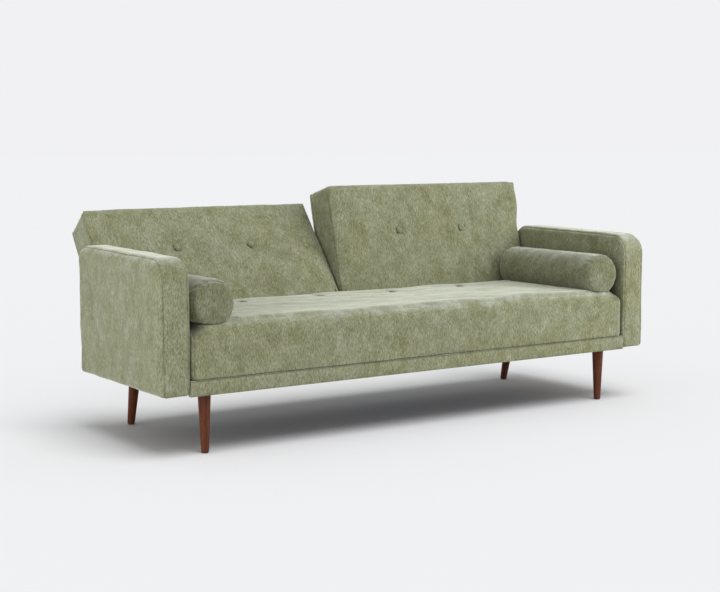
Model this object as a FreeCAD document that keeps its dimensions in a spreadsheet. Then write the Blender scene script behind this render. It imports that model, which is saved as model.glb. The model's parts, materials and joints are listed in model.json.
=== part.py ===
"""A futon sofa bed: a long seat on a low base, two arms, two loose bolsters
and two back halves that each fold down flat on a pair of ratchet hinges.

X runs across, Y from front to back and Z up from the floor, in millimetres.
The origin is on the floor, under the middle of the whole.  Left and right are
as seen from in front, so the left half is the one at negative X.
"""
import FreeCAD, Part
import math
import os
import re

import Sketcher

doc = FreeCAD.newDocument("futon_sofa_bed")

# ---------------------------------------------------------------------------
# Driving dimensions
# ---------------------------------------------------------------------------
# Heights are above the floor.  Depths are measured back from "front", the
# plane of the arms' front edges.  Across the width, sizes are distances from
# the middle of the sofa.
SIZES = [
    ("front", -450, "the arms' front plane, set below so that the origin is central"),
    ("half_width", 1000, "middle to the outside of an arm"),
    ("cloth", 2.5, "thickness of the upholstery cloth"),
    # arms
    ("arm_inner", 901, "middle to the inside face of an arm"),
    ("arm_bulge", 8, "how far an arm's padding stands out past its front edge"),
    ("arm_depth", 622, "front plane to the back of an arm"),
    ("arm_bottom", 197, "underside of the arms"),
    ("arm_top", 642, "top of the crowned arms"),
    ("arm_corner", 50, "radius of an arm's corners seen from the side"),
    ("arm_crown", 24, "radius along an arm's top edges"),
    ("arm_frame_wall", 20, "padding between an arm's face and its timber frame"),
    ("arm_frame_top", 600, "top of an arm's timber frame"),
    ("arm_rail", 40, "width of an arm frame's timber"),
    ("bolt", 4, "radius of an arm bolt"),
    ("bolt_height", 217, "height of the arm bolts"),
    # base
    ("base_half", 890, "middle to the end of the base band"),
    ("base_bottom", 194, "underside of the base rails"),
    ("base_top", 241, "top of the base rails, where the seat rests"),
    ("base_front", -5, "front face of the front rail"),
    ("base_back", 600, "back face of the rear rail"),
    ("rail", 30, "thickness of a base rail"),
    ("cross_rail", 60, "width of a cross rail"),
    ("cross_pitch", 450, "distance between cross rails"),
    ("block", 78, "side of a corner block"),
    # seat
    ("seat_half", 898, "middle to the end of the seat cushion"),
    ("seat_front", -7.5, "front face of the seat cushion"),
    ("seat_back", 536, "rear face of the seat cushion"),
    ("seat_top", 420, "top of the seat cushion"),
    ("seat_round", 42, "radius of the seat's front and end edges"),
    ("seat_frame_half", 878, "middle to the outside of the seat frame"),
    ("seat_frame_front", 16, "front of the seat frame"),
    ("seat_frame_back", 516, "back of the seat frame"),
    ("seat_frame_top", 300, "top of the seat frame"),
    ("timber", 25, "thickness of the frame timber"),
    ("post", 18, "half the thickness of the middle timber"),
    ("spring_room", 306, "underside of the seat foam, above the springs"),
    ("button", 11.5, "radius of a covered button"),
    ("seat_button_depth", 440, "front plane to the row of seat buttons"),
    ("seat_button_pitch", 314, "distance between seat buttons"),
    # springs
    ("spring_height", 302.2, "height of the spring wire"),
    ("spring_first", 110, "middle to the first spring on each side"),
    ("spring_pitch", 160, "distance between springs"),
    ("clip", 8, "half the width of a spring clip"),
    ("wire", 1.9, "radius of the spring wire"),
    ("bend", 12.5, "radius of a zigzag bend"),
    ("swing", 12, "half of a zigzag's straight run"),
    # legs
    ("leg_across", 828, "middle to a leg's axis"),
    ("front_foot", 52, "front plane to a front foot"),
    ("rear_foot", 610, "front plane to a rear foot"),
    ("rear_plate", 564, "front plane to the middle of a rear leg plate"),
    ("leg_splay", 13, "backward lean of the rear legs, in degrees"),
    ("foot_radius", 12.3, "radius of a leg at its foot"),
    ("leg_radius", 21, "radius of a leg at its top"),
    ("glide", 4, "height of a foot glide"),
    ("glide_radius", 10.5, "radius of a foot glide"),
    ("plate", 3, "thickness of a leg plate"),
    ("plate_side", 70, "side of a leg plate"),
    ("plate_hole", 26, "leg plate's middle to a screw, along and across"),
    ("screw", 2.4, "radius of a wood screw"),
    ("screw_head", 4.5, "radius of a screw's head"),
    ("head_height", 2.5, "height of a screw's head"),
    # backs
    ("pivot_depth", 565, "front plane to the hinge pins"),
    ("pivot_height", 395, "height of the hinge pins"),
    ("left_tilt", 38.4, "lean of the left back, in degrees from upright"),
    ("right_tilt", 14.8, "lean of the right back, in degrees from upright"),
    ("ratchet_step", 23.6, "turn from one notch of the hinge to the next"),
    ("back_near", 3, "middle to the near end of a back half"),
    ("back_far", 893, "middle to the far end of a back half"),
    ("heel", 25, "hinge pin to the face and to the bottom of a back"),
    ("back_height", 423, "hinge pin to the top of a back"),
    ("back_thin", 104, "hinge pin to the rear face, at the top"),
    ("back_thick", 130, "hinge pin to the rear face, at the bottom"),
    ("back_corner", 26, "radius of a back's top corners"),
    ("pad", 43, "hinge pin to the rear of the front foam"),
    ("back_frame_low", -8, "hinge pin to the bottom of the back frame"),
    ("back_frame_high", 382, "hinge pin to the top of the back frame"),
    ("back_frame_deep", 92, "hinge pin to the rear of the back frame"),
    ("back_rail", 42, "height of a rail in the back frame"),
    ("back_stile", 30, "width of a stile in the back frame"),
    ("strap", 50, "width of a webbing strap"),
    ("strap_first", 48, "hinge pin to the lowest strap"),
    ("strap_pitch", 62, "distance between straps"),
    ("strap_thick", 2, "thickness of a webbing strap"),
    ("button_height", 238, "hinge pin to the back's buttons"),
    ("near_button", 300, "middle to the nearer button"),
    ("far_button", 600, "middle to the farther button"),
    # hinges: each is set out from its own datum, across the width
    ("hinge_span", 900, "sum of the datums of an inner and an outer hinge"),
    ("leaf", 4, "thickness of a hinge leaf"),
    ("seat_leaf_at", 18, "datum to the seat leaf"),
    ("back_leaf_at", 22.5, "datum to the back leaf"),
    ("stile_at", 26.5, "datum to the back frame's stile"),
    ("head", 20, "radius of a leaf's head"),
    ("arm", 12, "half the width of a leaf's arm"),
    ("reach", 110, "hinge pin to the front of the seat leaf"),
    ("leg_width", 32, "width of the seat leaf's leg"),
    ("drop", 145, "hinge pin to the bottom of the seat leaf"),
    ("pin", 5, "radius of a hinge pin"),
    ("running", 0.05, "clearance of a pin in the part that turns on it"),
    ("pawl_up", 48, "hinge pin to the pawl's pivot, up the back"),
    ("pawl_back", 10, "hinge pin to the pawl's pivot, to the rear"),
    ("pawl_pin", 3, "radius of the pawl's pivot"),
    ("pawl_gap", 0.4, "clearance of the pawl over the ratchet's crests"),
    # bolsters
    ("bolster_across", 810, "middle to a bolster's axis"),
    ("bolster_radius", 71, "radius of a bolster"),
    ("bolster_height", 478, "height of a bolster's axis"),
    ("bolster_front", 4, "front plane to a bolster's front end"),
    ("bolster_back", 540, "front plane to a bolster's rear end"),
    ("bolster_round", 30, "radius of a bolster's end edges"),
    ("rest_gap", 0.4, "gap between a bolster and the seat it lies on"),
    ("bolster_cloth", 2, "thickness of a bolster's cloth"),
]
ALIASES = {alias for alias, _, _ in SIZES}
FRONT_CELL = "B1"

sheet = doc.addObject("Spreadsheet::Sheet", "Sizes")
for row, (alias, value, note) in enumerate(SIZES, start=1):
    sheet.set(f"A{row}", note)
    sheet.set(f"B{row}", str(value))
    sheet.setAlias(f"B{row}", alias)
doc.recompute()

SIDES = (("left", -1), ("right", 1))
parts = []


# ---------------------------------------------------------------------------
# Helpers
# ---------------------------------------------------------------------------
def sized(text):
    """Write an expression on the sheet: "seat_top - cloth" names its cells."""
    def cell(word):
        return f"Sizes.{word.group()}" if word.group() in ALIASES else word.group()
    return re.sub(r"[a-z_]+", cell, str(text))


def value(alias):
    """A driving dimension's value."""
    return float(sheet.get(alias))


def bind(item, **expressions):
    """Bind an object's properties to expressions on the sheet."""
    for name, text in expressions.items():
        item.setExpression(name, sized(text))


def place(item, x="0", y="0", z="0"):
    """Bind an object's position."""
    for corner, text in zip("xyz", (x, y, z)):
        item.setExpression(f"Placement.Base.{corner}", sized(text))
    return item


def keep(item):
    """Count an object as a finished sub-part, labelled with its own name."""
    item.Label = item.Name
    parts.append(item)
    return item


def lean(item, tilt):
    """Set an object built about the hinge pin at its place and tilt."""
    item.Placement = FreeCAD.Placement(
        FreeCAD.Vector(), FreeCAD.Rotation(FreeCAD.Vector(-1, 0, 0), 1))
    item.setExpression("Placement.Rotation.Angle", sized(tilt))
    return place(item, "0", "front + pivot_depth", "pivot_height")


def across(side, low, high):
    """The pair of X expressions for a span on one side of the middle."""
    return (low, high) if side > 0 else (f"-({high})", f"-({low})")


def hinge_across(side, outer, low, high):
    """The same for a span set out from a hinge's datum."""
    if outer:
        low, high = f"hinge_span - ({high})", f"hinge_span - ({low})"
    return across(side, low, high)


def block(name, x, y, z):
    """A box between pairs of low and high expressions."""
    box = doc.addObject("Part::Box", name)
    for size, (low, high) in zip(("Length", "Width", "Height"), (x, y, z)):
        bind(box, **{size: f"({high}) - ({low})"})
    return place(box, x[0], y[0], z[0])


def post(name, x, y, z, radius):
    """An upright cylinder between two heights."""
    rod = doc.addObject("Part::Cylinder", name)
    bind(rod, Radius=radius, Height=f"({z[1]}) - ({z[0]})")
    return place(rod, x, y, z[0])


def rod_across(name, x, y, z, radius):
    """A cylinder that runs across, between two X expressions."""
    rod = doc.addObject("Part::Cylinder", name)
    bind(rod, Radius=radius, Height=f"({x[1]}) - ({x[0]})")
    rod.Placement = FreeCAD.Placement(
        FreeCAD.Vector(), FreeCAD.Rotation(FreeCAD.Vector(0, 1, 0), 90))
    return place(rod, x[0], y, z)


def rod_along(name, x, y, z, radius):
    """A cylinder that runs from front to back, between two Y expressions."""
    rod = doc.addObject("Part::Cylinder", name)
    bind(rod, Radius=radius, Height=f"({y[1]}) - ({y[0]})")
    rod.Placement = FreeCAD.Placement(
        FreeCAD.Vector(), FreeCAD.Rotation(FreeCAD.Vector(-1, 0, 0), 90))
    return place(rod, x, y[0], z)


def joined(name, pieces):
    """One solid made of several."""
    fuse = doc.addObject("Part::MultiFuse", name)
    fuse.Shapes = pieces
    return fuse


def group(name, pieces):
    """Several separate solids kept in one node."""
    compound = doc.addObject("Part::Compound", name)
    compound.Links = pieces
    return compound


def cut(name, base, tools):
    """A solid with others taken out of it."""
    hollow = doc.addObject("Part::Cut", name)
    hollow.Base = base
    hollow.Tool = tools[0] if len(tools) == 1 else group(f"{name}_tools", tools)
    return hollow


def plane(body, role):
    """One of a body's own origin planes."""
    return next(item for item in body.Origin.OriginFeatures if item.Role == role)


def side_outline(body, corners):
    """A closed outline in the body's YZ plane, each corner held by expressions."""
    sketch = body.newObject("Sketcher::SketchObject", f"{body.Name}_outline")
    sketch.AttachmentSupport = [(plane(body, "YZ_Plane"), "")]
    sketch.MapMode = "FlatFace"
    count = len(corners)
    for index in range(count):
        angle = 2 * math.pi * index / count
        following = 2 * math.pi * (index + 1) / count
        ends = [FreeCAD.Vector(50 * math.cos(turn), 50 * math.sin(turn), 0)
                for turn in (angle, following)]
        sketch.addGeometry(Part.LineSegment(*ends))
    for index in range(count):
        sketch.addConstraint(
            Sketcher.Constraint("Coincident", index, 2, (index + 1) % count, 1))
    for index, corner in enumerate(corners):
        for kind, text in zip(("DistanceX", "DistanceY"), corner):
            spot = sketch.addConstraint(Sketcher.Constraint(kind, -1, 1, index, 1, 1.0))
            sketch.setExpression(f"Constraints[{spot}]", sized(text))
    return sketch


def padded_outline(name, corners, x):
    """A body padded across from one X expression to another."""
    body = doc.addObject("PartDesign::Body", name)
    sketch = side_outline(body, corners)
    pad = body.newObject("PartDesign::Pad", f"{name}_pad")
    pad.Profile = sketch
    bind(pad, Length=f"({x[1]}) - ({x[0]})")
    place(body, x[0])
    doc.recompute()
    return body


def edges_at(shape, spots):
    """Names of the edges whose middles are at given fractions of the box."""
    box = shape.BoundBox
    found = []
    for number, edge in enumerate(shape.Edges, start=1):
        middle = edge.CenterOfMass
        fraction = ((middle.x - box.XMin) / box.XLength,
                    (middle.y - box.YMin) / box.YLength,
                    (middle.z - box.ZMin) / box.ZLength)
        for spot in spots:
            if all(b is None or abs(a - b) < 0.02 for a, b in zip(fraction, spot)):
                found.append(f"Edge{number}")
    return found


def rounded(body, name, spots, radius):
    """Fillet a body's edges, chosen by where their middles are."""
    doc.recompute()
    base = body.Tip
    fillet = body.newObject("PartDesign::Fillet", name)
    fillet.Base = (base, edges_at(base.Shape, spots))
    bind(fillet, Radius=radius)
    doc.recompute()
    return body


def soft_block(name, x, y, z):
    """A body holding one box, ready for its edges to be rounded."""
    body = doc.addObject("PartDesign::Body", name)
    box = body.newObject("PartDesign::AdditiveBox", f"{name}_box")
    for size, (low, high) in zip(("Length", "Width", "Height"), (x, y, z)):
        bind(box, **{size: f"({high}) - ({low})"})
    place(body, x[0], y[0], z[0])
    doc.recompute()
    return body


# ---------------------------------------------------------------------------
# Base: rails, corner blocks, the band of cloth round them and a dust cover
# ---------------------------------------------------------------------------
def make_base():
    """The low frame that carries everything else."""
    ends = ("-(base_half - cloth)", "base_half - cloth")
    front_rail = ("front + base_front", "front + base_front + rail")
    rear_rail = ("front + base_back - rail", "front + base_back")
    between = (front_rail[1], rear_rail[0])
    height = ("base_bottom", "base_top")
    keep(block("base_front_rail", ends, front_rail, height))
    keep(block("base_rear_rail", ends, rear_rail, height))
    corner_blocks = []
    for word, side in SIDES:
        rail = block(f"{word}_rail_blank", across(side, "arm_inner - rail", "arm_inner"),
                     between, height)
        keep(cut(f"base_{word}_rail", rail, arm_bolt_shanks(word, side)))
        x = across(side, "arm_inner - rail - block", "arm_inner - rail")
        corner_blocks += [
            block(f"{word}_front_block", x, (between[0], f"{between[0]} + block"), height),
            block(f"{word}_rear_block", x, (f"{between[1]} - block", between[1]), height)]
    keep(group("corner_blocks", corner_blocks))
    slats = [block(f"slat_{number + 2}",
                   (f"{number} * cross_pitch - cross_rail / 2",
                    f"{number} * cross_pitch + cross_rail / 2"),
                   between, ("base_bottom + 6", "base_top - 5"))
             for number in (-1, 0, 1)]
    keep(group("base_cross_rails", slats))
    wrap = block("band_outside", ("-base_half", "base_half"),
                 ("front + base_front - cloth", "front + base_front + 20"),
                 ("base_bottom - cloth", "base_top"))
    fill = block("band_inside", ends,
                 ("front + base_front", "front + base_front + 21"),
                 ("base_bottom", "base_top + 1"))
    strip = block("band_back", ("-base_half", "base_half"),
                  ("front + base_back", "front + base_back + cloth"),
                  ("base_bottom - cloth", "base_top"))
    keep(group("base_band", [cut("band_front", wrap, [fill]), strip]))
    keep(block("dust_cover", ("-(leg_across - plate_side / 2 - 8)", "leg_across - plate_side / 2 - 8"),
               ("front + base_front + 21", "front + base_back - 4"),
               ("base_bottom - cloth + 0.5", "base_bottom")))


# ---------------------------------------------------------------------------
# Arms
# ---------------------------------------------------------------------------
BOLT_DEPTHS = ("150", "430")


def arm_bolt_shanks(word, side):
    """The bolts' shanks, from the inside of the base rail into the arm's frame."""
    shanks = []
    for number, depth in enumerate(BOLT_DEPTHS, start=1):
        name = f"{word}_bolt_shank_{number}"
        if doc.getObject(name) is None:
            rod_across(name, across(side, "arm_inner - rail", "arm_inner + 2 * arm_frame_wall"),
                       f"front + {depth}", "bolt_height", "bolt")
        shanks.append(doc.getObject(name))
    return shanks


def arm_block(name, side, inset):
    """An arm's shape, inset all round but for its open underside."""
    arm = soft_block(name, across(side, f"arm_inner + {inset}", f"half_width - {inset}"),
                     (f"front - arm_bulge + {inset}", f"front + arm_depth - {inset}"),
                     ("arm_bottom", f"arm_top - {inset}"))
    rounded(arm, f"{name}_corners", [(0.5, 0, 1), (0.5, 1, 1)], f"arm_corner - {inset}")
    return rounded(arm, f"{name}_crown", [(0, 0.5, 1), (1, 0.5, 1)], f"arm_crown - {inset}")


def make_arm(word, side):
    """A timber frame in a thick coat of foam, under a cover open at the bottom."""
    shanks = arm_bolt_shanks(word, side)
    outside = arm_block(f"{word}_arm_outside", side, "0")
    inside = arm_block(f"{word}_arm_inside", side, "cloth")
    keep(cut(f"{word}_arm_cover", outside, [inside] + shanks))
    x = across(side, "arm_inner + arm_frame_wall", "half_width - arm_frame_wall")
    y = ("front + arm_frame_wall", "front + arm_depth - arm_frame_wall")
    pocket = block(f"{word}_arm_frame_blank", x, y, ("arm_bottom", "arm_frame_top"))
    keep(cut(f"{word}_arm_foam", inside, [pocket] + shanks))
    middle = f"({y[0]} + {y[1]}) / 2"
    open_heights = ("arm_bottom + arm_rail", "arm_frame_top - arm_rail")
    windows = [block(f"{word}_arm_window_front", x,
                     (f"{y[0]} + arm_rail", f"{middle} - arm_rail / 2"), open_heights),
               block(f"{word}_arm_window_rear", x,
                     (f"{middle} + arm_rail / 2", f"{y[1]} - arm_rail"), open_heights)]
    keep(cut(f"{word}_arm_frame", pocket, windows + shanks))


def make_arm_bolts():
    """Four bolts, their heads inside the base's side rails."""
    bolts = []
    for word, side in SIDES:
        for number, (shank, depth) in enumerate(zip(arm_bolt_shanks(word, side), BOLT_DEPTHS)):
            head = rod_across(f"{word}_bolt_head_{number + 1}",
                              across(side, "arm_inner - rail - 5", "arm_inner - rail"),
                              f"front + {depth}", "bolt_height", "2 * bolt")
            bolts.append(joined(f"{word}_bolt_{number + 1}", [shank, head]))
    keep(group("arm_bolts", bolts))


# ---------------------------------------------------------------------------
# Seat
# ---------------------------------------------------------------------------
def seat_leaf_x(side, outer, low, high):
    """A span across, measured outwards from a seat leaf's inner face."""
    face = "hinge_span - seat_leaf_at - leaf" if outer else "seat_leaf_at"
    return across(side, f"{face} + {low}", f"{face} + {high}")


def hinges():
    """The four hinges: a name, a side and whether it is the outer one."""
    for word, side in SIDES:
        for which in ("inner", "outer"):
            yield f"{word}_{which}", side, which == "outer"


def seat_block(name, inset):
    """The seat cushion's shape, inset but for its open underside."""
    seat = soft_block(name, (f"-(seat_half - {inset})", f"seat_half - {inset}"),
                      (f"front + seat_front + {inset}", f"front + seat_back - {inset}"),
                      ("base_top", f"seat_top - {inset}"))
    return rounded(seat, f"{name}_edges", [(0.5, 0, 1), (0, 0.5, 1), (1, 0.5, 1)],
                   f"seat_round - {inset}")


def make_seat():
    """Foam on zigzag springs in a timber frame, under a buttoned cover."""
    slots = []
    head_rooms = []
    for name, side, outer in hinges():
        depth = ("front + pivot_depth - reach - 1", "front + seat_back + 5")
        slots.append(block(f"{name}_slot", seat_leaf_x(side, outer, "-0.4", "leaf + 0.4"),
                           depth, ("base_top", "pivot_height + arm + 1")))
        head_rooms.append(block(f"{name}_head_room", seat_leaf_x(side, outer, "0", "leaf + 3"),
                                (depth[0], f"{depth[0]} + leg_width + 2"),
                                ("base_top", "spring_room")))
    spots = [f"{step} * seat_button_pitch" for step in (-1.5, -0.5, 0.5, 1.5)]
    row = "front + seat_button_depth"
    wells = [post(f"seat_well_{number}", x, row, ("seat_top - 23", "seat_top + 1"),
                  "button + 0.5") for number, x in enumerate(spots)]
    outside = seat_block("seat_outside", "0")
    inside = seat_block("seat_inside", "cloth")
    keep(cut("seat_cover", outside, [inside] + slots + wells))
    x = ("-seat_frame_half", "seat_frame_half")
    y = ("front + seat_frame_front", "front + seat_frame_back")
    pocket = block("spring_space", x, y, ("base_top", "spring_room"))
    keep(cut("seat_foam", inside, [pocket] + slots + head_rooms + wells))
    buttons = []
    for number, spot in enumerate(spots):
        cap = post(f"seat_cap_{number}", spot, row, ("seat_top - 9", "seat_top - 4"), "button")
        shank = post(f"seat_shank_{number}", spot, row, ("seat_top - 22", "seat_top - 9"), "2")
        buttons.append(joined(f"seat_button_{number}", [cap, shank]))
    keep(group("seat_buttons", buttons))
    height = ("base_top", "seat_frame_top")
    timbers = [block("seat_front_timber", x, (y[0], f"{y[0]} + timber"), height),
               block("seat_rear_timber", x, (f"{y[1]} - timber", y[1]), height),
               block("seat_middle_timber", ("-post", "post"), y, height)]
    timbers += [block(f"seat_{word}_timber",
                      across(side, "seat_frame_half - timber", "seat_frame_half"), y, height)
                for word, side in SIDES]
    keep(joined("seat_frame", timbers))


def zigzag(bend, swing, runs, radius):
    """A round wire in a flat zigzag: straight runs across joined by half turns."""
    up = FreeCAD.Vector(0, 0, 1)
    edges = []
    for number in range(runs):
        way = 1 if number % 2 == 0 else -1
        y = 2 * bend * number
        start = FreeCAD.Vector(-way * swing, y, 0)
        end = FreeCAD.Vector(way * swing, y, 0)
        edges.append(Part.makeLine(start, end))
        if number < runs - 1:
            top = FreeCAD.Vector(way * (swing + bend), y + bend, 0)
            turn = FreeCAD.Vector(way * swing, y + 2 * bend, 0)
            edges.append(Part.Arc(end, top, turn).toShape())
    ring = Part.Wire([Part.makeCircle(radius, edges[0].Vertexes[0].Point,
                                      FreeCAD.Vector(1, 0, 0))])
    return Part.Wire(edges).makePipeShell([ring], True, False)


def make_springs():
    """Five springs on each side, clipped to the front and rear timbers."""
    room = value("seat_frame_back") - value("seat_frame_front") - value("timber")
    runs = int(room / (2 * value("bend")) + 0.5) + 1
    wire = zigzag(value("bend"), value("swing"), runs, value("wire"))
    first = "front + seat_frame_front + timber / 2"
    springs = []
    clips = []
    for word, side in SIDES:
        for number in range(5):
            x = f"{side} * (spring_first + {number} * spring_pitch)"
            spring = doc.addObject("Part::Feature", f"{word}_spring_{number}")
            spring.Shape = wire
            springs.append(place(spring, x, first, "spring_height"))
            for end, y in (("front", first), ("rear", f"{first} + {runs - 1} * 2 * bend")):
                name = f"{word}_{end}_clip_{number}"
                saddle = block(f"{name}_blank", (f"{x} - clip", f"{x} + clip"),
                               (f"{y} - 6", f"{y} + 6"), ("seat_frame_top", "spring_room - 0.5"))
                groove = rod_across(f"{name}_groove", (f"{x} - 2 * clip", f"{x} + 2 * clip"),
                                    y, "spring_height", "wire + 0.05")
                clips.append(cut(name, saddle, [groove]))
    keep(group("seat_springs", springs))
    keep(group("spring_clips", clips))


# ---------------------------------------------------------------------------
# Legs
# ---------------------------------------------------------------------------
def make_legs():
    """Round tapered legs on screwed plates; the rear pair leans backwards."""
    plates = []
    screws = []
    glides = []
    height = ("glide", "base_bottom - plate")
    for word, side in SIDES:
        x = f"{side} * leg_across"
        leg = doc.addObject("PartDesign::Body", f"front_{word}_leg")
        cone = leg.newObject("PartDesign::AdditiveCone", f"front_{word}_cone")
        bind(cone, Radius1="foot_radius", Radius2="leg_radius", Height=f"{height[1]} - {height[0]}")
        keep(place(leg, x, "front + front_foot", "glide"))
        cone = doc.addObject("Part::Cone", f"rear_{word}_cone")
        cone.Placement = FreeCAD.Placement(
            FreeCAD.Vector(), FreeCAD.Rotation(FreeCAD.Vector(1, 0, 0), 1))
        bind(cone, Radius1="foot_radius", Radius2="leg_radius",
             Height=f"({height[1]} - {height[0]}) / cos(leg_splay) + 2 * foot_radius")
        cone.setExpression("Placement.Rotation.Angle", sized("leg_splay"))
        place(cone, x, "front + rear_foot + foot_radius * sin(leg_splay)",
              "glide - foot_radius * cos(leg_splay)")
        trim = block(f"rear_{word}_trim", (f"{x} - 40", f"{x} + 40"),
                     ("front + rear_foot - 100", "front + rear_foot + 40"), height)
        leg = doc.addObject("Part::Common", f"rear_{word}_leg")
        leg.Base = cone
        leg.Tool = trim
        keep(leg)
        for end, foot, middle in (("front", "front_foot", "front_foot"),
                                  ("rear", "rear_foot", "rear_plate")):
            name = f"{end}_{word}"
            glides.append(post(f"{name}_glide", x, f"front + {foot}", ("0", "glide"), "glide_radius"))
            y = f"front + {middle}"
            blank = block(f"{name}_plate_blank",
                          (f"{x} - plate_side / 2", f"{x} + plate_side / 2"),
                          (f"{y} - plate_side / 2", f"{y} + plate_side / 2"),
                          ("base_bottom - plate", "base_bottom"))
            shanks = []
            for number, (a, b) in enumerate(((-1, -1), (-1, 1), (1, -1), (1, 1))):
                spot = (f"{x} + {a} * plate_hole", f"{y} + {b} * plate_hole")
                shank = post(f"{name}_shank_{number}", *spot,
                             ("base_bottom - plate", "base_bottom + 18"), "screw")
                head = post(f"{name}_screw_head_{number}", *spot,
                            ("base_bottom - plate - head_height", "base_bottom - plate"),
                            "screw_head")
                shanks.append(shank)
                screws.append(joined(f"{name}_screw_{number}", [shank, head]))
            plates.append(cut(f"{name}_plate", blank, shanks))
    keep(group("leg_plates", plates))
    keep(group("leg_plate_screws", screws))
    keep(group("foot_glides", glides))


# ---------------------------------------------------------------------------
# Hinges: seat leaf, back leaf and pawl, on one pin at the back's lower corner
# ---------------------------------------------------------------------------
SEAT_SCREWS = ("14", "34")
BACK_SCREWS = ("20", "80", "135")


def seat_leaf_screw_height(rise):
    """The height of a screw in the leg of a seat leaf."""
    return f"pivot_height - drop + {rise}"


def make_seat_leaves():
    """The fixed leaves, whose round heads carry the ratchet's notches."""
    pin_y = "front + pivot_depth"
    middle = f"{pin_y} - reach + leg_width / 2"
    pins = []
    screws = []
    for name, side, outer in hinges():
        x = seat_leaf_x(side, outer, "0", "leaf")
        blank = joined(f"{name}_seat_blank", [
            rod_across(f"{name}_seat_head", x, pin_y, "pivot_height", "head"),
            block(f"{name}_seat_arm", x, (f"{pin_y} - reach", pin_y),
                  ("pivot_height - arm", "pivot_height + arm")),
            block(f"{name}_seat_leg", x, (f"{pin_y} - reach", f"{pin_y} - reach + leg_width"),
                  ("pivot_height - drop", "pivot_height + arm"))])
        tools = [rod_across(f"{name}_notch_{step}", x,
                            f"{pin_y} + head * sin(right_tilt + {step} * ratchet_step)",
                            f"pivot_height + head * cos(right_tilt + {step} * ratchet_step)",
                            "3.5") for step in range(3)]
        tools.append(rod_across(f"{name}_seat_hole", x, pin_y, "pivot_height", "pin"))
        for number, rise in enumerate(SEAT_SCREWS):
            height = seat_leaf_screw_height(rise)
            shank = rod_across(f"{name}_seat_shank_{number}",
                               seat_leaf_x(side, outer, "-14", "leaf"), middle, height, "screw")
            head = rod_across(f"{name}_seat_screw_head_{number}",
                              seat_leaf_x(side, outer, "leaf", "leaf + head_height"),
                              middle, height, "screw_head")
            tools.append(shank)
            screws.append(joined(f"{name}_seat_screw_{number}", [shank, head]))
        keep(cut(f"{name}_hinge_seat_leaf", blank, tools))
        spans = (("shank", "seat_leaf_at - 2.5", "stile_at + 2.8", "pin"),
                 ("seat_end", "seat_leaf_at - 2.5", "seat_leaf_at", "pin + 3"),
                 ("back_end", "stile_at + 0.3", "stile_at + 2.8", "pin + 3"))
        pins.append(joined(f"{name}_pin", [
            rod_across(f"{name}_pin_{part}", hinge_across(side, outer, low, high),
                       pin_y, "pivot_height", radius)
            for part, low, high, radius in spans]))
    keep(group("hinge_pins", pins))
    keep(group("hinge_seat_screws", screws))


def make_back_leaf(name, side, outer, tilt):
    """The moving leaf with its pawl; returns the screws that hold it to the stile."""
    x = hinge_across(side, outer, "back_leaf_at", "stile_at")
    foot = padded_outline(f"{name}_back_foot", [
        ("-6", "0"), ("0", "-arm"), ("back_frame_deep - 22", "-arm"),
        ("back_frame_deep - 22", "150"), ("pad + 2", "150"), ("pad + 2", "60"), ("-6", "60")], x)
    head = rod_across(f"{name}_back_head", x, "0", "0", "head")
    stud = rod_across(f"{name}_pawl_stud",
                      hinge_across(side, outer, "seat_leaf_at - 1", "back_leaf_at"),
                      "pawl_back", "pawl_up", "pawl_pin")
    hole = rod_across(f"{name}_back_hole", x, "0", "0", "pin + running")
    screws = []
    shanks = []
    for number, rise in enumerate(BACK_SCREWS):
        shank = rod_across(f"{name}_back_shank_{number}",
                           hinge_across(side, outer, "back_leaf_at", "stile_at + 22"),
                           "back_frame_deep - 34", rise, "screw")
        cap = rod_across(f"{name}_back_screw_head_{number}",
                         hinge_across(side, outer, "back_leaf_at - head_height", "back_leaf_at"),
                         "back_frame_deep - 34", rise, "screw_head")
        shanks.append(shank)
        screws.append(joined(f"{name}_back_screw_{number}", [shank, cap]))
    blank = joined(f"{name}_back_blank", [foot, head, stud])
    keep(lean(cut(f"{name}_hinge_back_leaf", blank, [hole] + shanks), tilt))
    tip = "head + pawl_gap"
    pawl = padded_outline(f"{name}_pawl_blank", [
        ("-3", tip), ("3", tip), ("9", "head + 14"), ("pawl_back + 8", "pawl_up - 4"),
        ("pawl_back + 6", "pawl_up + 8"), ("pawl_back - 6", "pawl_up + 8"), ("-2", "pawl_up - 6")],
        hinge_across(side, outer, "seat_leaf_at", "back_leaf_at - 0.5"))
    eye = rod_across(f"{name}_pawl_eye", hinge_across(side, outer, "seat_leaf_at", "back_leaf_at"),
                     "pawl_back", "pawl_up", "pawl_pin + running")
    keep(lean(cut(f"{name}_hinge_pawl", pawl, [eye]), tilt))
    return screws


# ---------------------------------------------------------------------------
# Backs: built about the hinge pin, then leaned to their tilt
# ---------------------------------------------------------------------------
def back_block(name, side, inset):
    """A back's wedge shape, inset but for its open rear."""
    body = padded_outline(name, [
        (f"-heel + {inset}", f"-heel + {inset}"), ("back_thick", f"-heel + {inset}"),
        ("back_thin", f"back_height - {inset}"), (f"-heel + {inset}", f"back_height - {inset}")],
        across(side, f"back_near + {inset}", f"back_far - {inset}"))
    rounded(body, f"{name}_heel", [(0.5, 0, 0)], f"heel - {inset}")
    return rounded(body, f"{name}_corners", [(0, None, 1), (1, None, 1)], f"back_corner - {inset}")


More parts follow.
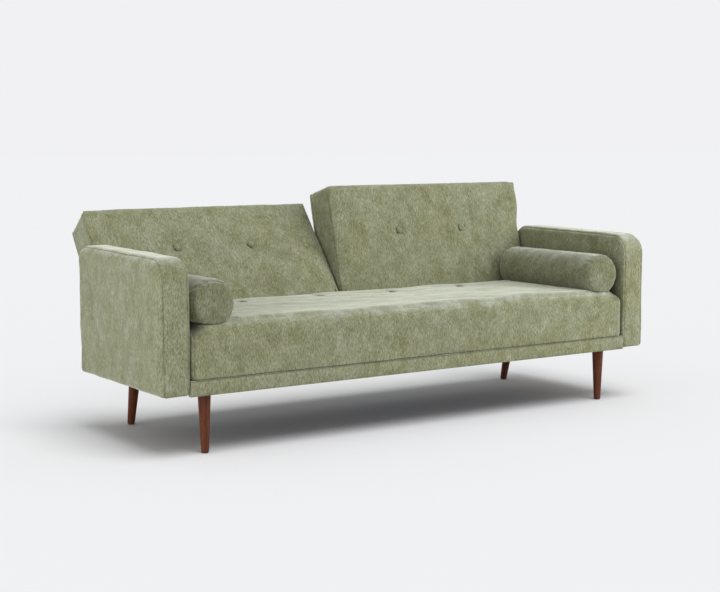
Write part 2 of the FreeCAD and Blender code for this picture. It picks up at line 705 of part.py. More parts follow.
def make_back(word, side, tilt):
    """Foam round a webbed timber frame, in a buttoned cover with a rear panel."""
    outside = back_block(f"{word}_back_outside", side, "0")
    inside = back_block(f"{word}_back_inside", side, "cloth")
    slots = []
    rooms = []
    for which, outer in (("inner", False), ("outer", True)):
        name = f"{word}_{which}"
        slots.append(block(f"{name}_leaf_slot",
                           hinge_across(side, outer, "seat_leaf_at - 0.8", "back_leaf_at + 0.5"),
                           ("-heel - 1", "head + 1"), ("-heel - 1", "head + 1")))
        rooms.append(block(f"{name}_pin_room",
                           hinge_across(side, outer, "seat_leaf_at - 3", "stile_at + 3.5"),
                           ("-10", "10"), ("-10", "10")))
        rooms.append(block(f"{name}_leaf_room",
                           hinge_across(side, outer, "seat_leaf_at - 1.5", "stile_at"),
                           ("-head - 1", "back_frame_deep - 18"), ("-head - 1", "156")))
    wells = [rod_along(f"{word}_{near}_well", f"{side} * {near}", ("-heel - 1", "-heel + 14"),
                       "button_height", "button + 0.5") for near in ("near_button", "far_button")]
    keep(lean(cut(f"{word}_back_cover", outside, [inside] + slots + wells), tilt))
    panel_x = across(side, "back_near + cloth", "back_far - cloth")
    panel = padded_outline(f"{word}_panel_blank", [
        ("back_thick - cloth", "-heel + cloth"), ("back_thick", "-heel + cloth"),
        ("back_thin", "back_height - cloth"), ("back_thin - cloth", "back_height - cloth")], panel_x)
    trimmed = doc.addObject("Part::Common", f"{word}_back_rear_panel")
    trimmed.Base = panel
    trimmed.Tool = inside
    keep(lean(trimmed, tilt))
    frame_x = across(side, "stile_at", "hinge_span - stile_at")
    pocket = block(f"{word}_frame_space", frame_x, ("pad", "back_thick + 10"),
                   ("back_frame_low", "back_frame_high"))
    keep(lean(cut(f"{word}_back_foam", inside, [pocket, panel] + slots + rooms + wells), tilt))
    depth = ("pad + strap_thick", "back_frame_deep")
    height = ("back_frame_low", "back_frame_high")
    middle = "hinge_span / 2"
    frame = joined(f"{word}_back_frame", [
        block(f"{word}_bottom_rail", frame_x, depth, (height[0], f"{height[0]} + back_rail")),
        block(f"{word}_top_rail", frame_x, depth, (f"{height[1]} - back_rail", height[1])),
        block(f"{word}_near_stile", across(side, "stile_at", "stile_at + back_stile"),
              depth, height),
        block(f"{word}_middle_stile",
              across(side, f"{middle} - back_stile / 2", f"{middle} + back_stile / 2"),
              depth, height),
        block(f"{word}_far_stile",
              across(side, "hinge_span - stile_at - back_stile", "hinge_span - stile_at"),
              depth, height)])
    keep(lean(frame, tilt))
    straps = [block(f"{word}_strap_{number}", frame_x, ("pad", "pad + strap_thick"),
                    (f"strap_first + {number} * strap_pitch",
                     f"strap_first + {number} * strap_pitch + strap")) for number in range(5)]
    keep(lean(group(f"{word}_back_webbing", straps), tilt))
    buttons = []
    for near in ("near_button", "far_button"):
        x = f"{side} * {near}"
        cap = rod_along(f"{word}_{near}_cap", x, ("-heel", "-heel + 5"), "button_height", "button")
        shank = rod_along(f"{word}_{near}_shank", x, ("-heel + 5", "-heel + 13"),
                          "button_height", "2")
        buttons.append(joined(f"{word}_{near}", [cap, shank]))
    keep(lean(group(f"{word}_back_buttons", buttons), tilt))
    screws = make_back_leaf(f"{word}_inner", side, False, tilt)
    screws += make_back_leaf(f"{word}_outer", side, True, tilt)
    keep(lean(group(f"{word}_hinge_back_screws", screws), tilt))


# ---------------------------------------------------------------------------
# Bolsters
# ---------------------------------------------------------------------------
def bolster_block(name, side, inset):
    """A round-ended cylinder from front to back, flat where it rests."""
    body = doc.addObject("PartDesign::Body", f"{name}_round")
    roll = body.newObject("PartDesign::AdditiveCylinder", f"{name}_cylinder")
    bind(roll, Radius=f"bolster_radius - {inset}",
         Height=f"bolster_back - bolster_front - 2 * {inset}")
    rounded(body, f"{name}_ends", [(0.5, 0.5, 0), (0.5, 0.5, 1)], f"bolster_round - {inset}")
    body.Placement = FreeCAD.Placement(
        FreeCAD.Vector(), FreeCAD.Rotation(FreeCAD.Vector(-1, 0, 0), 90))
    place(body, f"{side} * bolster_across", f"front + bolster_front + {inset}", "bolster_height")
    above = block(f"{name}_above", (f"{side} * bolster_across - 100", f"{side} * bolster_across + 100"),
                  ("front", "front + bolster_back + 10"), (f"seat_top + rest_gap + {inset}", "600"))
    common = doc.addObject("Part::Common", name)
    common.Base = body
    common.Tool = above
    return common


def make_bolster(word, side):
    """A filling in a cloth cover, which opens along its underside."""
    outside = bolster_block(f"{word}_bolster_outside", side, "0")
    filling = keep(bolster_block(f"{word}_bolster_filling", side, "bolster_cloth"))
    x = f"{side} * bolster_across"
    opening = block(f"{word}_zip_opening", (f"{x} - 2", f"{x} + 2"),
                    ("front + 80", "front + 460"),
                    ("seat_top", "seat_top + rest_gap + bolster_cloth"))
    keep(cut(f"{word}_bolster_cover", outside, [filling, opening]))


# ---------------------------------------------------------------------------
# The whole
# ---------------------------------------------------------------------------
make_base()
for word, side in SIDES:
    make_arm(word, side)
make_arm_bolts()
make_seat()
make_springs()
make_legs()
make_seat_leaves()
make_back("left", -1, "left_tilt")
make_back("right", 1, "right_tilt")
for word, side in SIDES:
    make_bolster(word, side)
doc.recompute()


def extent():
    """The lowest and highest Y of all the sub-parts."""
    boxes = [part.Shape.optimalBoundingBox(False, False) for part in parts]
    return min(box.YMin for box in boxes), max(box.YMax for box in boxes)


# The origin goes under the middle of the whole, so the front plane moves.
low, high = extent()
sheet.set(FRONT_CELL, f"{value('front') - (low + high) / 2:.4f}")
doc.recompute()
low, high = extent()
print(f"front to back {low:.3f} to {high:.3f}, front plane at {value('front'):.3f}")

for item in doc.Objects:
    bad = [state for state in item.State if state in ("Invalid", "Error")]
    if bad:
        raise RuntimeError(f"{item.Label} is {bad}")
for part in parts:
    if part.Shape.isNull() or not part.Shape.isValid():
        raise RuntimeError(f"{part.Label} has no valid shape")
    if not part.Shape.Solids:
        raise RuntimeError(f"{part.Label} holds no solid")

os.makedirs("parts", exist_ok=True)
for part in parts:
    part.Shape.exportStep(f"parts/{part.Label}.step")
print(len(parts), "sub-parts written")
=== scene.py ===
# %% [markdown]
# # A futon sofa bed
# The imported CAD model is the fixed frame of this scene.  Its timber, hinges,
# springs, legs and screws stay as they are and only get a finish.  Everything
# soft is made here round them, as surfaces worked out with arrays.

# %% Load the frame
import json
import math

import bmesh
import bpy
import numpy as np
from mathutils import Matrix, Vector

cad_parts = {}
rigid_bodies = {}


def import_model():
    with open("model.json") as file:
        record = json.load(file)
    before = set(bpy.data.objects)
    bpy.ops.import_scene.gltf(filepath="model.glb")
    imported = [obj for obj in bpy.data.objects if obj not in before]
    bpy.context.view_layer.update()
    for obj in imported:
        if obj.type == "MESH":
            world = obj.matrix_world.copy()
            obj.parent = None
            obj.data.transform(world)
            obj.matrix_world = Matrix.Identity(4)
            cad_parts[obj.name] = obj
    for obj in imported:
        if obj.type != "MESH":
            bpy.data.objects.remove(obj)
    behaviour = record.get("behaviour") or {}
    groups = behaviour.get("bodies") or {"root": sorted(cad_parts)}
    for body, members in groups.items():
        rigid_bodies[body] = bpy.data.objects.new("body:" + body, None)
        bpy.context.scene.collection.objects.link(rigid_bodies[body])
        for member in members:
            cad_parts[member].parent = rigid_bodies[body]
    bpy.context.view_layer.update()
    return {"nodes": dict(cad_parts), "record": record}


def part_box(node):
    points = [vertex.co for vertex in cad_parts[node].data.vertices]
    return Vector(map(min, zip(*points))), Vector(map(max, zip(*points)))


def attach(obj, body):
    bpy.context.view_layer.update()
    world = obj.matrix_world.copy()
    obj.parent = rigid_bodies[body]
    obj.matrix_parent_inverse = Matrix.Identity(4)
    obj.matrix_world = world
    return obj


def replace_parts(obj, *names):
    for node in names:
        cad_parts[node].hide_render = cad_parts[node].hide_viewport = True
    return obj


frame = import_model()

SCENE = bpy.context.scene
RANDOM = np.random.default_rng(11)
MM = 0.001
SIDES = (("left", -1), ("right", 1))

# %% [markdown]
# ## Camera
# A long lens a little above seat height, well to the left of the middle,
# shows the outside of the left arm, the seat's front and both backs.  Its
# place is measured from the arms' front plane, so it follows the frame.

# %% Camera
ARM_BULGE = 8 * MM
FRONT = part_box("left_arm_cover")[0].y + ARM_BULGE
YAW, PITCH, ROLL = (math.radians(angle) for angle in (33.354, 6.168, -0.247))


def make_camera():
    """Aim by yaw, pitch and roll: the axes of the view are the camera's columns."""
    aim = Vector((math.sin(YAW) * math.cos(PITCH), math.cos(YAW) * math.cos(PITCH), -math.sin(PITCH)))
    level = Vector((math.cos(YAW), -math.sin(YAW), 0))
    upright = level.cross(aim)
    across = level * math.cos(ROLL) + upright * math.sin(ROLL)
    up = upright * math.cos(ROLL) - level * math.sin(ROLL)
    data = bpy.data.cameras.new("camera")
    data.sensor_width = 36.0
    data.lens = 71.4
    camera = bpy.data.objects.new("camera", data)
    SCENE.collection.objects.link(camera)
    turn = Matrix((across, up, -aim)).transposed().to_4x4()
    camera.matrix_world = Matrix.Translation((-2.8457, FRONT - 3.9033, 0.9709)) @ turn
    SCENE.camera = camera
    return camera


print("camera at", [round(x, 3) for x in make_camera().location])

# %% [markdown]
# ## Studio
# A pale floor runs out to the horizon, where the sky has exactly its tone, so
# no line shows.  The floor has a high sun of its own, whose soft shadow lies
# under the seat.  The sofa has a key light from in front and above, a wide
# fill from the left and a soft box on either side.

# %% Studio
PAPER = (0.879, 0.879, 0.896)


def make_floor(half=90.0):
    """One great square at the height of the glides."""
    corners = [(-half, -half, 0), (half, -half, 0), (half, half, 0), (-half, half, 0)]
    mesh = bpy.data.meshes.new("floor")
    mesh.from_pydata(corners, [], [(0, 1, 2, 3)])
    floor = bpy.data.objects.new("floor", mesh)
    SCENE.collection.objects.link(floor)
    return floor


def soft_sun(name, way, strength, spread):
    """A light from far away, as wide as spread degrees, that shines along a direction."""
    data = bpy.data.lights.new(name, "SUN")
    data.energy = strength
    data.angle = math.radians(spread)
    light = bpy.data.objects.new(name, data)
    light.rotation_euler = Vector(way).to_track_quat("-Z", "Y").to_euler()
    SCENE.collection.objects.link(light)
    return light


def softbox(name, place, target, size, power):
    """A square light near the sofa, aimed at a point."""
    data = bpy.data.lights.new(name, "AREA")
    data.size, data.energy = size, power
    light = bpy.data.objects.new(name, data)
    light.location = place
    light.rotation_euler = (Vector(target) - Vector(place)).to_track_quat("-Z", "Y").to_euler()
    SCENE.collection.objects.link(light)
    return light


def make_sky(strength):
    """An even sky, which the camera sees in the floor's own tone."""
    sky = bpy.data.worlds.new("sky")
    sky.use_nodes = True
    nodes, links = sky.node_tree.nodes, sky.node_tree.links
    seen = nodes.new("ShaderNodeBackground")
    seen.inputs["Color"].default_value = (*PAPER, 1)
    nodes["Background"].inputs["Color"].default_value = (0.98, 0.99, 1.0, 1)
    nodes["Background"].inputs["Strength"].default_value = strength
    either = nodes.new("ShaderNodeMixShader")
    links.new(nodes.new("ShaderNodeLightPath").outputs["Is Camera Ray"], either.inputs["Fac"])
    links.new(nodes["Background"].outputs["Background"], either.inputs[1])
    links.new(seen.outputs["Background"], either.inputs[2])
    links.new(either.outputs["Shader"], nodes["World Output"].inputs["Surface"])
    SCENE.world = sky


FLOOR = make_floor()
FLOOR_LIGHT = soft_sun("overhead", (-0.05, 0.45, -1.0), 1.80, 42)
make_sky(0.50)
SOFA_LIGHTS = [
    soft_sun("key", (-0.28, 0.60, -1.0), 1.16, 50),
    soft_sun("fill", (0.85, 0.45, -0.45), 0.62, 120),
    softbox("left_softbox", (-3.0, -0.9, 0.9), (-1.0, -0.1, 0.4), 1.5, 29),
    softbox("right_softbox", (2.3, -2.2, 1.4), (0.7, 0.0, 0.45), 1.5, 50),
]
SCENE.view_settings.view_transform = "Standard"

# %% [markdown]
# ## Finishes
# Every finish is a small node tree over Object coordinates.  The cloth is a
# chenille: a sage ground, darker and paler nap in soft patches, fine slubs
# that run up the faces, and a strong sheen where it is seen edge on.

# %% A helper for node trees
class Tree:
    """Nodes and links of one material, with its Principled shader ready."""

    def __init__(self, name):
        self.material = bpy.data.materials.new(name)
        self.material.use_nodes = True
        self.nodes = self.material.node_tree.nodes
        self.links = self.material.node_tree.links
        self.shader = self.nodes["Principled BSDF"]

    def add(self, kind, settings=None, **sockets):
        """Add a node; a socket is set to a value or linked from another socket."""
        node = self.nodes.new(kind)
        for key, value in (settings or {}).items():
            setattr(node, key, value)
        for key, value in sockets.items():
            self.join(node.inputs[key.replace("_", " ")], value)
        return node

    def join(self, socket, value):
        """Link an output socket to an input, or set the input's value."""
        if isinstance(value, bpy.types.NodeSocket):
            self.links.new(value, socket)
        else:
            socket.default_value = value

    def place(self, scale=(1, 1, 1), turn=(0, 0, 0)):
        """Object coordinates, turned and then stretched."""
        coordinates = self.add("ShaderNodeTexCoord").outputs["Object"]
        turned = self.add("ShaderNodeMapping", Vector=coordinates, Rotation=turn)
        return self.add("ShaderNodeMapping", Vector=turned.outputs["Vector"], Scale=scale).outputs["Vector"]

    def noise(self, vector, scale, detail=2.0, rough=0.5):
        """Smooth noise from 0 to 1."""
        node = self.add("ShaderNodeTexNoise", Vector=vector, Scale=scale, Detail=detail, Roughness=rough)
        return node.outputs["Fac"]

    def ramp(self, value, low, high, low_colour, high_colour):
        """A colour that goes from one to another between two values."""
        node = self.add("ShaderNodeValToRGB", Fac=value)
        first, last = node.color_ramp.elements
        first.position, last.position = low, high
        first.color, last.color = (*low_colour, 1), (*high_colour, 1)
        return node.outputs["Color"]

    def mix(self, share, first, second, way="MIX"):
        """Two colours mixed, or multiplied, by a share."""
        node = self.add("ShaderNodeMix", {"data_type": "RGBA", "blend_type": way})
        self.join(node.inputs["Factor"], share)
        self.join(node.inputs[6], first)
        self.join(node.inputs[7], second)
        return node.outputs[2]

    def math(self, what, first, second=0.0):
        """One step of arithmetic."""
        node = self.add("ShaderNodeMath", {"operation": what})
        self.join(node.inputs[0], first)
        self.join(node.inputs[1], second)
        return node.outputs[0]

    def bump(self, height, distance, strength=1.0):
        """Raise the surface by a height map."""
        node = self.add("ShaderNodeBump", Height=height, Distance=distance, Strength=strength)
        self.links.new(node.outputs["Normal"], self.shader.inputs["Normal"])

    def finish(self, **sockets):
        """Set the shader's own sockets and return the material."""
        for key, value in sockets.items():
            self.join(self.shader.inputs[key.replace("_", " ")], value)
        return self.material


# %% [markdown]
# The cloth's pattern is turned with the piece, so the slubs run up a leaned
# back as they do up the straight front.  Where the cloth faces up, a paler
# colour is painted in patches: painted light, for the sheen and the light from
# above.  "seam" is a value kept on the mesh: how near a point is to a stitched
# line, and, at the seat's crevices and lowest edge and the band's top edge,
# painted shade.

# %% Chenille
# A pale colour painted on up-facing cloth: painted light, for the sheen and the light from above.
PAINTED_TOP_LIGHT = (0.340, 0.351, 0.279, 1)
# Near-black for stitched lines, and for the painted shade in crevices and at the band's top edge.
SEAM_AND_PAINTED_SHADE = (0.030, 0.032, 0.012, 1)


def chenille(name, lean=0.0, top_light=1.0, tone=1.0):
    """Sage chenille on a piece leaned by an angle.

    The share after lean is how much shows of the pale colour painted on up-facing
    faces: painted light, for the sheen and the light from above.  tone multiplies
    the whole colour, and below one it makes a darker copy: painted shade.
    """
    tree = Tree(name)
    turn = (lean, 0, 0)
    slub = tree.noise(tree.place((1.0, 1.0, 0.25), turn), 420, 3.0, 0.7)
    streak = tree.noise(tree.place((1.0, 1.0, 0.33), turn), 250, 3.0, 0.65)
    patch = tree.noise(tree.place((1.0, 1.0, 0.75), turn), 24, 5.0, 0.65)
    broad = tree.noise(tree.place((1.0, 1.0, 1.0), turn), 7, 2.0, 0.5)
    ground = tree.ramp(slub, 0.30, 0.70, (0.128, 0.127, 0.062), (0.282, 0.288, 0.182))
    nap = tree.ramp(streak, 0.30, 0.70, (0.72, 0.73, 0.64), (1.30, 1.29, 1.36))
    mottle = tree.ramp(patch, 0.34, 0.66, (0.82, 0.82, 0.74), (1.17, 1.18, 1.26))
    hue = tree.ramp(broad, 0.35, 0.65, (0.96, 0.96, 0.94), (1.04, 1.06, 1.14))
    # Up-facing faces turn paler in noisy patches: a painted highlight for the sheen and the light from
    # above.
    upward = tree.add("ShaderNodeSeparateXYZ",
                      Vector=tree.add("ShaderNodeTexCoord").outputs["Normal"]).outputs["Z"]
    top_light_patches = tree.noise(tree.place((0.6, 1.0, 1.0), turn), 22, 6.0, 0.68)
    level = tree.math("ADD", upward, tree.math("MULTIPLY", tree.math("SUBTRACT", top_light_patches, 0.5), 1.4))
    lit_top_share = tree.add("ShaderNodeMapRange", {"interpolation_type": "SMOOTHSTEP"}, Value=level,
                       From_Min=0.38, From_Max=1.22, To_Min=0.0, To_Max=1.0).outputs["Result"]
    colour = tree.mix(tree.math("MULTIPLY", lit_top_share, top_light), ground, PAINTED_TOP_LIGHT)
    colour = tree.mix(1.0, colour, nap, "MULTIPLY")
    colour = tree.mix(1.0, colour, mottle, "MULTIPLY")
    colour = tree.mix(1.0, colour, hue, "MULTIPLY")
    # A tone below one darkens the whole cloth: painted shade, used on the bolsters.
    colour = tree.mix(1.0, colour, (tone, tone, tone, 1), "MULTIPLY")
    # The "seam" value darkens stitched lines, and in places it carries painted shade.
    seam = tree.add("ShaderNodeAttribute", {"attribute_name": "seam"}).outputs["Fac"]
    colour = tree.mix(seam, colour, SEAM_AND_PAINTED_SHADE)
    pile = tree.noise(tree.place((1.0, 1.0, 0.45), turn), 700, 2.0, 0.6)
    fine = tree.math("ADD", tree.math("MULTIPLY", slub, 0.7), tree.math("MULTIPLY", pile, 0.5))
    height = tree.math("ADD", fine, tree.math("MULTIPLY", patch, 3.5))
    tree.bump(height, 0.0012, 0.55)
    return tree.finish(Base_Color=colour, Roughness=0.93, Specular_IOR_Level=0.15,
                       Sheen_Weight=0.88, Sheen_Roughness=0.32, Sheen_Tint=(0.96, 0.98, 0.84, 1))


# %% Wood, metal, plastic, webbing and lining
def walnut():
    """Stained wood: long grain up the leg, with darker pores."""
    tree = Tree("walnut")
    grain = tree.noise(tree.place((1, 1, 0.07)), 90, 4.0, 0.65)
    pores = tree.noise(tree.place((1, 1, 0.03)), 420, 2.0, 0.6)
    colour = tree.ramp(grain, 0.32, 0.68, (0.058, 0.015, 0.005), (0.125, 0.034, 0.011))
    dark = tree.ramp(pores, 0.30, 0.46, (0.55, 0.50, 0.48), (1, 1, 1))
    tree.bump(pores, 0.0003, 0.3)
    return tree.finish(Base_Color=tree.mix(1.0, colour, dark, "MULTIPLY"), Roughness=0.42,
                       Specular_IOR_Level=0.2)


def softwood():
    """Sawn frame timber, pale and dry."""
    tree = Tree("softwood")
    grain = tree.noise(tree.place((0.12, 1, 1)), 70, 4.0, 0.6)
    saw = tree.noise(tree.place((1, 0.1, 0.1)), 500, 2.0, 0.6)
    tree.bump(saw, 0.0005, 0.4)
    colour = tree.ramp(grain, 0.30, 0.70, (0.50, 0.33, 0.17), (0.76, 0.58, 0.36))
    return tree.finish(Base_Color=colour, Roughness=0.75)


def metal(name, dark, bright, rough, scale, metallic=1.0):
    """Metal with a faint cloud in its tone and its gloss."""
    tree = Tree(name)
    cloud = tree.noise(tree.place(), scale, 4.0, 0.6)
    tree.bump(tree.noise(tree.place(), scale * 12, 2.0, 0.5), 0.0001, 0.3)
    gloss = tree.math("MULTIPLY_ADD", cloud, 0.2)
    gloss.node.inputs[2].default_value = rough
    return tree.finish(Base_Color=tree.ramp(cloud, 0.35, 0.65, dark, bright), Metallic=metallic,
                       Roughness=gloss)


def plastic():
    """A moulded glide, finely textured."""
    tree = Tree("glide")
    grain = tree.noise(tree.place(), 900, 2.0, 0.5)
    tree.bump(grain, 0.0002, 0.4)
    return tree.finish(Base_Color=tree.ramp(grain, 0.3, 0.7, (0.02, 0.018, 0.016), (0.04, 0.037, 0.033)),
                       Roughness=0.55)


def woven(name, dark, bright, pitch, axis):
    """Flat cloth: ribs across one axis under a fine cross thread."""
    tree = Tree(name)
    rib = tree.add("ShaderNodeTexWave", {"bands_direction": axis}, Vector=tree.place(),
                   Scale=math.pi / pitch / 10, Distortion=0.4, Detail=1.0).outputs["Fac"]
    fleck = tree.noise(tree.place(), 800, 2.0, 0.6)
    height = tree.math("ADD", rib, tree.math("MULTIPLY", fleck, 0.4))
    tree.bump(height, 0.0006, 0.5)
    return tree.finish(Base_Color=tree.ramp(height, 0.3, 1.1, dark, bright), Roughness=0.9)


def paper():
    """The studio's floor: one even tone."""
    tree = Tree("paper")
    tone = tree.noise(tree.place(), 1.5, 1.0, 0.5)
    return tree.finish(Base_Color=tree.ramp(tone, 0.2, 0.8, (0.868, 0.868, 0.885), (0.872, 0.872, 0.889)),
                       Roughness=1.0, Specular_IOR_Level=0.0)


CLOTH = chenille("chenille")
# The bolsters wear a darker copy of the chenille: painted shade.
SHADED_BOLSTER_CLOTH = chenille("chenille_bolster_painted_shade", tone=0.78)
WALNUT, TIMBER = walnut(), softwood()
HINGE_STEEL = metal("lacquered_steel", (0.015, 0.015, 0.016), (0.035, 0.035, 0.037), 0.35, 40, 0.4)
ZINC = metal("zinc", (0.45, 0.45, 0.44), (0.66, 0.66, 0.63), 0.28, 120)
WIRE = metal("spring_wire", (0.16, 0.16, 0.17), (0.30, 0.30, 0.31), 0.35, 60)
GLIDE = plastic()
WEBBING = woven("webbing", (0.015, 0.015, 0.016), (0.06, 0.06, 0.062), 2 * MM, "Z")
LINING = woven("lining", (0.010, 0.010, 0.011), (0.028, 0.028, 0.030), 3 * MM, "X")
FLOOR.data.materials.append(paper())
print(len(bpy.data.materials), "finishes")

# %% [markdown]
# ## Finishes on the CAD pieces
# The record names a finish for each node, so one table does for all of them.

# %% Paint the CAD nodes
BY_SLOT = {"timber": TIMBER, "leg_wood": WALNUT, "hinge_steel": HINGE_STEEL, "zinc_steel": ZINC,
           "spring_steel": WIRE, "glide_plastic": GLIDE, "webbing": WEBBING, "lining": LINING,
           "cloth": CLOTH, "foam": CLOTH}


def paint_nodes():
    """Give each CAD node the finish of its material slot."""
    slots = {part["node"]: part["material_slot"] for part in frame["record"]["subparts"]}
    for name, node in frame["nodes"].items():
        node.data.materials.clear()
        node.data.materials.append(BY_SLOT[slots[name]])
    return len(slots)


print(paint_nodes(), "CAD nodes painted")

# %% [markdown]
# ## Soft shapes
# A boxed cushion is an outline carried across.  The outline's corners are
# arcs, the carried rings are drawn in along a quarter circle at both ends,
# and a flat end closes each side.

# %% Outlines and slabs
def rounded_outline(corners, radii, step=9 * MM):
    """A closed outline, anticlockwise, whose corners are arcs.

    An arc begins radius * tan(turn / 2) before its corner, and its centre is
    one radius to the left of there.  Returns the points and, at each, the
    unit normal that looks outwards.
    """
    corners = np.asarray(corners, float)
    arcs = []
    for index, radius in enumerate(radii):
        before = corners[index] - corners[index - 1]
        after = corners[(index + 1) % len(corners)] - corners[index]
        before /= np.linalg.norm(before)
        after /= np.linalg.norm(after)
        turn = math.atan2(before[0] * after[1] - before[1] * after[0], before @ after)
        count = max(4, int(radius * turn / step) + 2)
        angle = math.atan2(-before[0], before[1]) + np.linspace(0, turn, count)
        normals = np.stack([np.cos(angle), np.sin(angle)], axis=1)
        start = corners[index] - before * radius * math.tan(turn / 2)
        arcs.append((start + radius * (normals - normals[0]), normals))
    points, normals = [], []
    for index, (arc, facing_out) in enumerate(arcs):
        following = arcs[(index + 1) % len(arcs)][0][0]
        count = max(1, int(np.linalg.norm(following - arc[-1]) / step))
        share = np.arange(1, count)[:, None] / count
        points += [arc, arc[-1] + share * (following - arc[-1])]
        normals += [facing_out, np.repeat(facing_out[-1:], len(share), axis=0)]
    return np.concatenate(points), np.concatenate(normals)


def stations(low, high, radius, count=9):
    """Places from one end to the other, closer and closer together within a radius of each end."""
    near = radius * np.linspace(0, 1, count) ** 2
    middle = np.linspace(low + radius, high - radius, 24)[1:-1]
    return np.concatenate([low + near, middle, (high - near)[::-1]])


def by_side(normals, low_first, high_first, low_second, high_second):
    """A value for each normal, from one value per side, shared by its squares."""
    low, high = np.minimum(normals, 0) ** 2, np.maximum(normals, 0) ** 2
    return low @ np.array([low_first, low_second]) + high @ np.array([high_first, high_second])


def new_piece(name, points, faces):
    """Make a mesh, merge its doubles, turn its faces outwards, shade it smooth."""
    mesh = bpy.data.meshes.new(name)
    mesh.from_pydata(points.reshape(-1, 3).tolist(), [], faces)
    work = bmesh.new()
    work.from_mesh(mesh)
    bmesh.ops.remove_doubles(work, verts=work.verts, dist=1e-6)
    bmesh.ops.recalc_face_normals(work, faces=work.faces)
    work.to_mesh(mesh)
    work.free()
    mesh.shade_smooth()
    piece = bpy.data.objects.new(name, mesh)
    SCENE.collection.objects.link(piece)
    return piece


def ring_faces(rings, around):
    """Quads between following rings, and the two end polygons."""
    ring = np.arange(rings - 1)[:, None] * around
    here, following = np.arange(around), np.roll(np.arange(around), -1)
    beyond = ring + around
    quads = np.stack([ring + here, ring + following, beyond + following, beyond + here], axis=-1)
    return quads.reshape(-1, 4).tolist() + [here.tolist(), (here + (rings - 1) * around).tolist()]


def slab(name, outline, places, radii, along=0):
    """An outline's rings at each place along an axis, drawn in where they near an end.

    Within a radius r of an end, at a depth d, the ring is drawn in by
    r - sqrt(r^2 - (r - d)^2): a quarter circle, with its own r on each side.
    """
    points, normals = outline
    depth = np.minimum(places - places[0], places[-1] - places)[:, None]
    offset = np.sqrt(radii ** 2 - np.maximum(radii - depth, 0) ** 2) - radii
    grid = np.empty((len(places), len(points), 3))
    grid[:, :, along] = places[:, None]
    grid[:, :, [axis for axis in range(3) if axis != along]] = points + offset[:, :, None] * normals
    return new_piece(name, grid, ring_faces(len(places), len(points)))


# %% [markdown]
# Padding is simulated.  The slab is remeshed into even squares, air pressure
# blows it up as a light cloth, and each point's movement is then held to the
# room on its side.  All cushions are blown up in the same twenty frames.

# %% Remesh, blow up, subdivide
def coordinates(mesh):
    """A mesh's points as an array."""
    flat = np.empty(len(mesh.vertices) * 3, np.float32)
    mesh.vertices.foreach_get("co", flat)
    return flat.reshape(-1, 3).astype(float)


def facing(mesh):
    """A mesh's unit normals at its points."""
    flat = np.empty(len(mesh.vertices) * 3, np.float32)
    mesh.vertex_normals.foreach_get("vector", flat)
    return flat.reshape(-1, 3).astype(float)


def set_coordinates(mesh, points):
    """Write an array of points back to a mesh."""
    mesh.vertices.foreach_set("co", points.astype(np.float32).ravel())
    mesh.update()


def keep_result(piece):
    """Make what the piece's modifiers give its own mesh, and drop them."""
    result = bpy.data.meshes.new_from_object(piece.evaluated_get(bpy.context.evaluated_depsgraph_get()))
    piece.modifiers.clear()
    old, piece.data = piece.data, result
    bpy.data.meshes.remove(old)
    result.shade_smooth()


def remesh(piece, voxel):
    """Even squares all over."""
    modifier = piece.modifiers.new("remesh", "REMESH")
    modifier.mode = "VOXEL"
    modifier.voxel_size = voxel
    keep_result(piece)


def subdivide(piece):
    """One level of smooth subdivision."""
    modifier = piece.modifiers.new("subdivision", "SUBSURF")
    modifier.levels = modifier.render_levels = 1
    keep_result(piece)


def add_cloth(piece, pressure):
    """A light cloth with air in it and no weight."""
    cloth = piece.modifiers.new("cloth", "CLOTH")
    cloth.settings.quality = 4
    cloth.settings.mass = 0.3
    cloth.settings.tension_stiffness = 12
    cloth.settings.compression_stiffness = 12
    cloth.settings.shear_stiffness = 4
    cloth.settings.bending_stiffness = 0.4
    cloth.settings.use_pressure = True
    cloth.settings.uniform_pressure_force = pressure
    cloth.settings.effector_weights.gravity = 0
    cloth.point_cache.frame_start, cloth.point_cache.frame_end = 1, 20


def blow_up(pieces, pressure=4.0):
    """Simulate all the pieces at once; return how far each one's points moved."""
    before = [coordinates(piece.data) for piece in pieces]
    for piece in pieces:
        add_cloth(piece, pressure)
    for number in range(1, 21):
        SCENE.frame_set(number)
    moves = []
    for piece, start in zip(pieces, before):
        keep_result(piece)
        moves.append(coordinates(piece.data) - start)
        set_coordinates(piece.data, start)
    SCENE.frame_set(1)
    return moves


def held(move, normals, rooms):
    """Keep the part of each movement along the normal, held to the room on its side.

    rooms gives the room towards -X, -Y, -Z, +X, +Y and +Z.  The squares of a
    unit normal's parts add up to one, so they share the rooms out, and a
    movement d in a room r becomes r tanh(d / r).  The foam yields little
    where the cloth pulls inwards, so there the room is a quarter.
    """
    shares = np.concatenate([np.minimum(normals, 0) ** 2, np.maximum(normals, 0) ** 2], axis=1)
    outwards = (move * normals).sum(axis=1)
    room = (shares @ np.asarray(rooms) + 0.01) * MM * np.where(outwards > 0, 1, 0.25)
    return normals * (room * np.tanh(outwards / room))[:, None]


def lumps(points, size, count=14):
    """Soft unevenness of about -1 to 1: plane waves of about one size, added up."""
    ways = RANDOM.normal(size=(count, 3))
    ways /= np.linalg.norm(ways, axis=1)[:, None]
    waves = points @ (ways * (2 * math.pi / size) * RANDOM.uniform(0.6, 1.4, (count, 1))).T
    return np.cos(waves + RANDOM.uniform(0, 2 * math.pi, count)).sum(axis=1) / math.sqrt(count)


# %% [markdown]
# Seams and buttons come after the remesh, which would erase them.  A boxed
# cushion's seams lie in planes, so a seam is a plane: the skin sinks towards
# it as a bell curve of the distance, and stands a little proud on both sides.
# A button sinks its surroundings and throws a few short pleats.

# %% Seams and tufts
def seam_and_shade_values(piece):
    """The values kept by sew."""
    values = np.empty(len(piece.data.vertices), np.float32)
    piece.data.attributes["seam"].data.foreach_get("value", values)
    return values


def set_seam_and_shade(piece, values):
    """Write the values of "seam" back."""
    piece.data.attributes["seam"].data.foreach_set("value", values.astype(np.float32))


